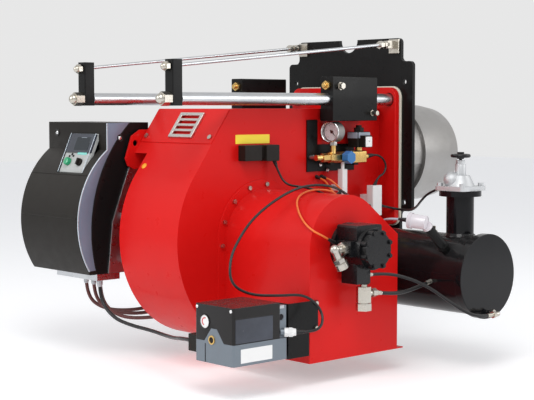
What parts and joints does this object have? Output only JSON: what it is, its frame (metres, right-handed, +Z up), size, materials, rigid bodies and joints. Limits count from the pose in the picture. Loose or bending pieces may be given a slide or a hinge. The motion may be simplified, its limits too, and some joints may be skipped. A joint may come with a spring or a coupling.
{
  "type": "heavy oil burner",
  "caption": "Heavy oil burner with fan scroll, air box, pump, preheater tank, damper actuator, control cabinet and a carriage that slides back on two bars from the boiler plate",
  "frame": {"origin": "burner head axis at the boiler side face of the mounting plate", "axes": "+X along the head into the boiler, +Z up, -Y the side of the air intake and the oil pump"},
  "size_m": [1.481, 1.338, 0.997],
  "materials": {
    "red_paint": "glossy powder coat",
    "black_paint": "semi-gloss paint",
    "zinc_steel": "zinc plated",
    "stainless": "rolled and welded sheet",
    "gasket_cream": "woven sealing rope",
    "brass": "machined",
    "cast_alloy": "die cast",
    "grille_alloy": "stamped",
    "black_plastic": "moulded",
    "hood_plastic": "smooth moulded",
    "cast_black": "painted casting",
    "plate_plastic": "satin",
    "blue_knob": "moulded",
    "white_plastic": "moulded",
    "needle_red": "enamel",
    "porcelain": "glazed",
    "black_rubber": "smooth jacket",
    "orange_silicone": "silicone jacket"
  },
  "bodies": {
    "frame": {"mounting_plate": "black_paint", "plate_gasket": "gasket_cream", "guide_bars": "zinc_steel", "rear_straps": "black_paint", "tie_rods": "zinc_steel", "rod_fittings": "zinc_steel", "blast_tube": "stainless", "flame_barrel": "stainless"},
    "carriage": {"burner_housing": "red_paint", "front_flange": "red_paint", "slide_blocks": "black_paint", "lubricators": "brass", "rear_cover": "red_paint", "vent_grille": "grille_alloy", "air_intake_box": "red_paint", "inlet_bell": "zinc_steel", "fan_motor": "cast_alloy", "oil_gun": "stainless", "gun_supports": "zinc_steel", "ignition_electrodes": "porcelain", "oil_pump": "cast_black", "pump_cover": "cast_black", "pump_fittings": "zinc_steel", "servo_casing": "cast_alloy", "servo_hood": "hood_plastic", "servo_bracket": "black_paint", "machine_screws": "zinc_steel", "preheater_tank": "black_paint", "heating_elements": "stainless", "tank_caps": "black_paint", "tank_saddles": "black_paint", "strainer_bonnet": "cast_alloy", "tank_thermostat": "black_paint", "valve_bracket": "black_paint", "valve_manifold": "brass", "pressure_gauge": "stainless", "solenoid_valve": "black_plastic", "pressure_switches": "white_plastic", "lifting_lug": "red_paint", "cabinet_cover": "black_plastic", "cabinet_case": "black_paint", "control_plate": "plate_plastic", "cabinet_brackets": "zinc_steel", "relay_rack": "plate_plastic", "plug_connectors": "black_plastic", "control_cables": "black_rubber", "ignition_leads": "orange_silicone", "oil_hoses": "black_rubber", "cabinet_harness": "black_rubber"},
    "fan_rotor": {"fan_wheel": "zinc_steel", "motor_shaft": "zinc_steel"},
    "damper_drive": {"front_damper": "zinc_steel", "cam_disc": "zinc_steel"},
    "rear_damper_blade": {"rear_damper": "zinc_steel"},
    "damper_link_bar": {"damper_link": "zinc_steel"},
    "diffuser_unit": {"diffuser": "stainless"},
    "needle": {"gauge_needle": "needle_red"},
    "handwheel": {"valve_handwheel": "cast_black"},
    "regulator": {"regulator_knob": "blue_knob"},
    "selector": {"selector_knob": "black_plastic"}
  },
  "joints": [
    {"name": "carriage_slide", "type": "slide", "parent": "frame", "child": "carriage", "axis": [-1, 0, 0], "range_m": [0, 0.58]},
    {"name": "fan_spin", "type": "hinge", "parent": "carriage", "child": "fan_rotor", "pos_m": [-0.6, 0, -0.25], "axis": [0, 1, 0], "continuous": true},
    {"name": "damper_turn", "type": "hinge", "parent": "carriage", "child": "damper_drive", "pos_m": [-0.785, -0.464, -0.49], "axis": [-1, 0, 0], "range_deg": [0, 90]},
    {"name": "rear_damper_turn", "type": "hinge", "parent": "carriage", "child": "rear_damper_blade", "pos_m": [-0.785, -0.282, -0.49], "axis": [-1, 0, 0], "range_deg": [0, 90]},
    {"name": "link_swing", "type": "hinge", "parent": "damper_drive", "child": "damper_link_bar", "pos_m": [-0.788, -0.49228, -0.46172], "axis": [-1, 0, 0], "range_deg": [-90, 0]},
    {"name": "diffuser_slide", "type": "slide", "parent": "carriage", "child": "diffuser_unit", "axis": [1, 0, 0], "range_m": [0, 0.04]},
    {"name": "gauge_needle_turn", "type": "hinge", "parent": "carriage", "child": "needle", "pos_m": [-0.32531, -0.22669, 0.088], "axis": [-0.9744, -0.225, 0], "range_deg": [-270, 0]},
    {"name": "handwheel_turn", "type": "hinge", "parent": "carriage", "child": "handwheel", "pos_m": [-0.165, -0.644, 0.016], "axis": [0, 0, 1], "range_deg": [0, 1440]},
    {"name": "regulator_turn", "type": "hinge", "parent": "carriage", "child": "regulator", "pos_m": [-0.276, -0.271, 0.003], "axis": [0, 1, 0], "range_deg": [0, 1080]},
    {"name": "selector_turn", "type": "hinge", "parent": "carriage", "child": "selector", "pos_m": [-0.97287, 0.282, -0.01557], "axis": [-0.913, 0, 0.4081], "range_deg": [-45, 45]}
  ],
  "couplings": [
    {"joint": "rear_damper_turn", "follows": "damper_turn", "ratio": 1},
    {"joint": "link_swing", "follows": "damper_turn", "ratio": -1},
    {"joint": "diffuser_slide", "follows": "damper_turn", "m_per_rad": 0.025464}
  ]
}
